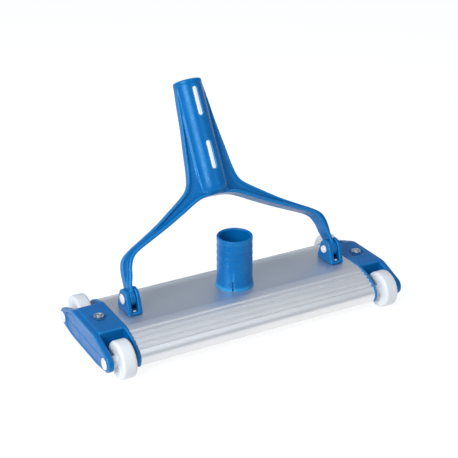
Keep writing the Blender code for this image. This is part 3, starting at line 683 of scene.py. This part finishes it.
# Outer edge of the fin and of the arm: (x, s)
FIN_LINE = [(15.7, 206.0), (18.1, 184.0), (20.4, 160.0), (23.8, 134.0), (27.0, 110.0), (30.6, 97.5),
            (37.5, 89.5), (55.0, 77.6), (73.6, 65.7), (92.9, 55.2), (110.0, 46.2), (119.0, 39.4),
            (122.6, 31.5), (123.8, 22.0), (124.0, 5.0)]
TUBE_RADIUS = 15.75
TUBE_TOP = 208.0
RIM_STEP = 0.5
BORE_RADIUS = 12.9
BORE_END = 100.0
SLOTS = [(109.0, 140.4), (167.3, 199.3)]
SLOT_WIDTH = 5.0
STRAP_HALF_DEPTH = 9.0 * MM
STRAP_THICKNESS = 3.8 * MM
RIB_HALF_DEPTH = 4.0 * MM
BEAD_WIDTH = 2.5
BEAD_TAPER = 1.1  # lost by the bead between the middle of the fin and its top
PANEL_DEPTH = 1.3 * MM
PANEL_TOP = 181.0
PANEL_END = 61.0
EYE_RADIUS = 9.2
EYE_HALF_WIDTH = 3.4
EYE_HOLE = 3.9


def joined(meshes):
    """One mesh that holds several, which are used up."""
    work = bmesh.new()
    for mesh in meshes:
        work.from_mesh(mesh)
        bpy.data.meshes.remove(mesh)
    made = bpy.data.meshes.new("joined")
    work.to_mesh(made)
    work.free()
    return made


def fin_panel():
    """Sunk field of a fin and its arm, between the outer bead, the tube and the strap."""
    outer = []
    line = smooth_line(FIN_LINE, 6)
    for edge, inward in zip(line, offset_line(line, -1.0 * MM)):
        if PANEL_END < edge.y / MM < PANEL_TOP:
            bead = BEAD_WIDTH - BEAD_TAPER * min(max(edge.y / MM - 130, 0) / 50, 1)
            outer.append(edge.lerp(inward, bead))
    strap = [p for p in offset_line(smooth_line(ARCH_LINE, 6), STRAP_THICKNESS + 1.0 * MM)
             if p.x > 25 * MM and p.y > (PANEL_END - 2.5) * MM]
    beside_tube = smooth_line([(16.1, PANEL_TOP - 1.5), (16.3, 140), (16.9, 112), (19.0, 95),
                               (strap[0].x / MM - 0.4, strap[0].y / MM + 0.4)], 5)
    return [tuple(p) for p in outer + strap[::-1] + beside_tube[-2::-1]]


def arm_outline(inner):
    """Band of the strap's thickness over the arch and down both arms."""
    outer = offset_line(inner, STRAP_THICKNESS)
    outer[0] = Vector((0.0, outer[0].y))
    return ([tuple(p) for p in outer] + [tuple(p) for p in reversed(inner)]
            + [(-p.x, p.y) for p in inner[1:]] + [(-p.x, p.y) for p in reversed(outer[1:])])


def melt_foot(handle):
    """Let the foot of the tube run out softly into the arch."""
    group = handle.vertex_groups.new(name="foot")
    for vertex in handle.data.vertices:
        place = vertex.co / MM
        away = max(abs(place.x) - 22, 0) / 16 + max(place.z - 96, 0) / 14
        if away < 1 and place.z > 84:
            group.add([vertex.index], (1 - away) * min(1, (place.z - 84) / 3), "REPLACE")
    smooth = handle.modifiers.new("foot", "SMOOTH")
    smooth.factor = 0.5
    smooth.iterations = 60
    smooth.vertex_group = "foot"
    settle(handle)
    handle.vertex_groups.clear()


def handle_blank():
    """Strap over both arms, middle rib with the fins, tube and the two eyes, in one mesh."""
    inner = smooth_line(ARCH_LINE, 6)
    strap = prism(arm_outline(inner), -STRAP_HALF_DEPTH, STRAP_HALF_DEPTH, XZ)
    half = [tuple(p) for p in smooth_line(FIN_LINE, 6)]
    half += [tuple(p) for p in reversed(offset_line(inner, 1.2 * MM)[1:])]
    rib_outline = half + [(-u, v) for u, v in reversed(half)]
    rib = prism(rib_outline, -RIB_HALF_DEPTH, RIB_HALF_DEPTH, XZ)
    waist = TUBE_RADIUS - RIM_STEP
    tube = round_corners([(0, TUBE_TOP, 0), (TUBE_RADIUS, TUBE_TOP, 0.9), (TUBE_RADIUS, 204.0, 0.2),
                          (waist, 203.4, 0.2), (waist, 150.0, 0), (TUBE_RADIUS, 100.0, 0),
                          (TUBE_RADIUS, 86.0, 7.0), (9.0, 83.6, 0), (0, 83.6, 0)], closed=False)
    parts = [soften(strap, 1.5 * MM, 3, 60), soften(rib, 2.2 * MM, 3, 50), lathe(tube, 128)]
    eye = round_corners([(0, EYE_HALF_WIDTH, 0), (EYE_RADIUS, EYE_HALF_WIDTH, 0.7),
                         (EYE_RADIUS, -EYE_HALF_WIDTH, 0.7), (0, -EYE_HALF_WIDTH, 0)], closed=False)
    for side in (-1, 1):
        parts.append(moved(laid_along_x(lathe(eye, 96)), side * PIVOT_X))
    return joined(parts)


def handle_cuts():
    """Bore and slots of the tube, the sunk panels of both fins and the pin holes of the eyes."""
    steps = [("DIFFERENCE", rod(BORE_RADIUS, BORE_END, 230, 128))]
    for low, high in SLOTS:
        outline = capsule(0, low * MM, high * MM, SLOT_WIDTH * MM)
        steps.append(("DIFFERENCE", prism(outline, -30 * MM, 30 * MM, XZ)))
    panel = fin_panel()
    floor = RIB_HALF_DEPTH - PANEL_DEPTH
    for side in (-1, 1):
        hole = laid_along_x(rod(EYE_HOLE, -10, 10, 64))
        steps.append(("DIFFERENCE", moved(hole, side * PIVOT_X)))
        outline = [(side * u, v) for u, v in panel]
        for low, high in ((floor, 8 * MM), (-8 * MM, -floor)):
            steps.append(("DIFFERENCE", prism(outline, low, high, XZ)))
    return steps


def add_handle():
    handle = new_object("handle_moulding", handle_blank())
    moulded(handle, 0.7 * MM, 0)
    cut = combine("handle_cut", handle.data.copy(), handle_cuts())
    handle.data = cut.data
    bpy.data.objects.remove(cut, do_unlink=True)
    moulded(handle, 0.74 * MM, 7)
    melt_foot(handle)
    placed(handle, ["handle_fork"], "handle", BLUE, HANDLE_FRAME, 180)


GAP = 0.3
SLEEVE_BORE = 10.6
KEY_REACH = 14.9 * MM


def add_sleeve():
    """White liner of the pole socket, with keys that fill the slots of the tube."""
    outer = BORE_RADIUS - GAP
    end = TUBE_TOP - 0.8
    profile = round_corners([(0, end, 0), (outer, end, 0.4), (outer, BORE_END + GAP, 0.3),
                             (0, BORE_END + GAP, 0)], closed=False)
    mouth = SLEEVE_BORE + 1.0
    bore = lathe([(0, 230 * MM), (mouth * MM, 230 * MM), (mouth * MM, end * MM),
                  (SLEEVE_BORE * MM, (end - 1.0) * MM), (SLEEVE_BORE * MM, 90 * MM), (0, 90 * MM)], 128)
    steps = []
    for low, high in SLOTS:
        outline = capsule(0, (low + GAP) * MM, (high - GAP) * MM, (SLOT_WIDTH - 2 * GAP) * MM)
        key = soften(prism(outline, -KEY_REACH, KEY_REACH, XZ), 0.5 * MM, 2)
        steps.append(("UNION", key))
    steps.append(("DIFFERENCE", bore))
    sleeve = combine("sleeve_liner", lathe(profile, 128), steps)
    placed(sleeve, ["pole_sleeve"], "handle", WHITE, HANDLE_FRAME, 35)


# ---------------------------------------------------------------- hose spigot

SPIGOT_RADIUS = 19.0
SPIGOT_BORE = 16.0
GRIP_RINGS = 4
GRIP_PITCH = 8.0
GRIP_DEPTH = 0.45
SLITS = 4
FIRST_SLIT = radians(-123)


def spigot_profile():
    """(radius, height) from the rim down the outside, past the snap ring's groove, and up the bore."""
    height = (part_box("hose_spigot")[1].z - TOP.z) / MM
    corners = [(SPIGOT_BORE + 1.0, height, 0.5), (SPIGOT_RADIUS, height, 0.9)]
    for k in range(GRIP_RINGS):
        z = height - 5.0 - k * GRIP_PITCH
        corners += [(SPIGOT_RADIUS, z, 0.4), (SPIGOT_RADIUS - GRIP_DEPTH, z - 0.6, 0.5),
                    (SPIGOT_RADIUS, z - 4.6, 2.0)]
    skirt = [(SPIGOT_RADIUS, 10.0, 12.0), (SPIGOT_RADIUS + 0.5, 4.5, 6.0), (20.4, 0.3, 0)]
    stem = [(18.1, 0.3, 0), (18.1, -5.0, 0), (17.3, -5.0, 0), (17.3, -7.5, 0), (18.1, -7.5, 0),
            (18.1, -8.6, 0.3)]
    bore = [(SPIGOT_BORE, -8.6, 0.3), (SPIGOT_BORE, height - 1.2, 0.8)]
    return round_corners(corners + skirt + stem + bore)


def add_spigot():
    """Open hose spigot with shallow grip rings and a flared skirt with slits."""
    steps = []
    for k in range(SLITS):
        slit = soften(prism(rectangle(18.3, -1.3, 25, 1.3), -0.2 * MM, 11 * MM), 0.5 * MM, 2)
        slit.transform(Matrix.Rotation(FIRST_SLIT + k * 2 * pi / SLITS, 4, "Z"))
        steps.append(("DIFFERENCE", slit))
    spigot = combine("spigot_moulding", lathe(spigot_profile(), 144, closed=True), steps)
    placed(spigot, ["hose_spigot"], "spigot", BLUE, smooth_below=40)


# ---------------------------------------------------------------- brush strips

TUFT_PITCH = 4.6 * MM
TUFT_ROW = 1.25 * MM  # from the middle of the strip to each of its two rows
FILAMENTS = 11
ROOT_SPREAD = 0.75 * MM
TIP_SPREAD = 1.15 * MM


def add_filament(work, root, tip):
    """Three-sided filament that tapers towards its tip."""
    rings = []
    for place, thick in ((root, 0.26 * MM), (root.lerp(tip, 0.5), 0.25 * MM), (tip, 0.2 * MM)):
        rings.append([work.verts.new(place + thick * Vector((cos(a), sin(a), 0)))
                      for a in (0.3, 0.3 + 2 * pi / 3, 0.3 + 4 * pi / 3)])
    for upper, lower in zip(rings, rings[1:]):
        for k in range(3):
            work.faces.new((upper[k - 1], upper[k], lower[k], lower[k - 1]))
    work.faces.new(rings[0])
    work.faces.new(rings[-1])


def add_brushes():
    """Two rows of filament tufts along each strip."""
    picker = random.Random(7)
    for end in ("front", "back"):
        low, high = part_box(f"{end}_bristles")
        work = bmesh.new()
        count = int((high.x - low.x - 3 * MM) / TUFT_PITCH)
        for row in (-1, 1):
            for k in range(count + 1):
                x = (k - count / 2) * TUFT_PITCH
                y = (low.y + high.y) / 2 + row * TUFT_ROW
                for _ in range(FILAMENTS):
                    angle = picker.uniform(0, 2 * pi)
                    away = Vector((cos(angle), sin(angle), 0)) * sqrt(picker.random())
                    root = Vector((x, y, high.z)) + away * ROOT_SPREAD
                    tip = Vector((x, y, low.z + picker.uniform(0, 0.8) * MM)) + away * TIP_SPREAD
                    add_filament(work, root, tip)
        bristles = new_object(f"{end}_filaments", mesh_from(work))
        placed(bristles, [f"{end}_bristles"], "base", BRISTLE, XY, 60)


# ---------------------------------------------------------------- underside

def add_tie(prefix, side):
    """Strip that joins cap, bracket and body under each end."""
    node = f"{prefix}_tie_plate"
    low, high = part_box(node)
    middle = middle_of(node)
    half_x, half_y = (high.x - low.x) / 2 / MM, (high.y - low.y) / 2 / MM
    outline = round_corners([(-half_x, -half_y, 2.0), (half_x, -half_y, 2.0),
                             (half_x, half_y, 2.0), (-half_x, half_y, 2.0)])
    plate = soften(prism(outline, low.z - middle.z, high.z - middle.z), 0.3 * MM, 2)
    steps = []
    for x, y, radius in ((BOLT_X, 0, BOLT_HOLE), (PIVOT_X, SCREW_OFFSET, SCREW_HOLE),
                         (PIVOT_X, -SCREW_OFFSET, SCREW_HOLE)):
        steps.append(("DIFFERENCE", moved(rod(radius, -9, 9, 48), side * x - middle.x, y * MM)))
    tie = combine(f"{prefix}_tie_strip", plate, steps)
    placed(tie, [node], "base", STEEL, Matrix.Translation(middle), 30)


def add_cap_bolt(prefix):
    node = f"{prefix}_cap_bolt"
    low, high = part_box(node)
    length = (high.z - low.z) / MM
    head = hexagon_nut(f"{prefix}_bolt_head", high.y - low.y, 4 * MM, 0)
    shank = round_corners([(0, length, 0), (2.9, length, 0.4), (2.9, 1.7, 0), (0, 1.7, 0)],
                          closed=False)
    bolt = combine(f"{prefix}_bolt", head.data, [("UNION", lathe(shank, 50))])
    bpy.data.objects.remove(head, do_unlink=True)
    place = Matrix.Translation((middle_of(node).x, TOP.y, low.z))
    placed(bolt, [node], "base", STEEL, place, 30)


def add_bracket_nuts(prefix):
    for end in ("front", "back"):
        node = f"{prefix}_{end}_bracket_nut"
        low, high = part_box(node)
        middle = middle_of(node)
        nut = hexagon_nut(f"{prefix}_{end}_nut", high.y - low.y, high.z - low.z, 2.2 * MM)
        place = Matrix.Translation((middle.x, middle.y, low.z))
        placed(nut, [node], "base", STEEL, place, 30)


def add_spigot_rings():
    """Bush that the spigot turns in, and the ring that keeps it there."""
    bush = round_corners([(18.4, -0.1, 0.4), (19.7, -0.1, 0.3), (19.7, -2.5, 0), (22.8, -2.5, 0.3),
                          (22.8, -4.6, 0.4), (18.4, -4.6, 0.3)])
    placed(new_object("bush_body", lathe(bush, 128, closed=True)), ["spigot_bush"], "base", WHITE,
           smooth_below=40)
    ring = round_corners([(17.6, -5.3, 0.3), (21.6, -5.3, 0.4), (21.6, -7.2, 0.4), (17.6, -7.2, 0.3)])
    placed(new_object("snap_ring", lathe(ring, 128, closed=True)), ["spigot_retaining_ring"],
           "spigot", WHITE, smooth_below=40)


def add_brush_backs():
    """Holders of the bristles, with a head that slides in the rail and a stem below it."""
    half = [(4.8, -4.6, 0.3), (4.8, -7.6, 0.3), (2.5, -7.6, 0.3), (2.5, -12.6, 0.5)]
    outline = round_corners(half + [(-u, v, rounding) for u, v, rounding in reversed(half)])
    for end in ("front", "back"):
        node = f"{end}_brush_holder"
        low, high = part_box(node)
        holder = new_object(f"{end}_brush_back", prism(outline, low.x, high.x, YZ))
        place = Matrix.Translation((0, middle_of(node).y, TOP.z))
        placed(holder, [node], "base", BLUE, place)


# ---------------------------------------------------------------- stage

def area_light(name, place, aim, size, power):
    """White square light at a place, turned to its aim; metres and watts."""
    light = bpy.data.lights.new(name, "AREA")
    light.shape = "SQUARE"
    light.size = size
    light.energy = power
    made = new_object(name, light)
    made.location = place
    made.rotation_euler = (Vector(aim) - Vector(place)).to_track_quat("-Z", "Y").to_euler()


FLOOR_HALF = 15
CAMERA_AIM = Vector((0.0, -0.0105, 0.0983))
CAMERA_DISTANCE = 1.2138
CAMERA_AZIMUTH = radians(-28.85)
CAMERA_ELEVATION = radians(24.59)
CAMERA_LENS = 91.05


def add_floor():
    corners = [(-FLOOR_HALF, -FLOOR_HALF), (FLOOR_HALF, -FLOOR_HALF), (FLOOR_HALF, FLOOR_HALF),
               (-FLOOR_HALF, FLOOR_HALF)]
    floor = new_object("floor", prism(corners, -0.02, 0.0))
    paint, _, shader = new_material("floor_paint", (0.25, 0.25, 0.25), 0.9)
    shader.inputs["Emission Color"].default_value = (1, 1, 1, 1)
    shader.inputs["Emission Strength"].default_value = 0.85
    shader.inputs["Specular IOR Level"].default_value = 0.0
    floor.data.materials.append(paint)


def add_lights():
    world = bpy.data.worlds.new("studio")
    world.use_nodes = True
    sky = world.node_tree.nodes["Background"]
    sky.inputs["Color"].default_value = (0.80, 0.90, 1.06, 1.0)
    sky.inputs["Strength"].default_value = 0.44
    bpy.context.scene.world = world
    area_light("key", (-1.35, -0.62, 0.98), (0, 0, 0.08), 0.95, 29)
    area_light("top", (0.3, 0.0, 1.6), (0, 0, 0.05), 1.2, 3)
    area_light("front", (0.35, -1.05, 1.05), (0, 0, 0.05), 0.7, 2.5)


def add_camera():
    lens = bpy.data.cameras.new("camera")
    lens.lens = CAMERA_LENS
    lens.sensor_width = 36.0
    back = Vector((sin(CAMERA_AZIMUTH) * cos(CAMERA_ELEVATION),
                   -cos(CAMERA_AZIMUTH) * cos(CAMERA_ELEVATION), sin(CAMERA_ELEVATION)))
    camera = new_object("camera", lens)
    camera.location = CAMERA_AIM + back * CAMERA_DISTANCE
    camera.rotation_euler = back.to_track_quat("Z", "Y").to_euler()
    bpy.context.scene.camera = camera
    bpy.context.scene.view_settings.view_transform = "Standard"


ENDS = (("left", -1), ("right", 1))

add_body()
for prefix, side in ENDS:
    add_end_cap(prefix, side)
    add_cap_nut(prefix)
    add_clevis(prefix, side)
    add_pivot_pin(prefix, side)
    add_bracket_screws(prefix)
add_wheels()
add_handle()
add_sleeve()
add_spigot()
add_brushes()
for prefix, side in ENDS:
    add_tie(prefix, side)
    add_cap_bolt(prefix)
    add_bracket_nuts(prefix)
add_spigot_rings()
add_brush_backs()
add_floor()
add_lights()
add_camera()
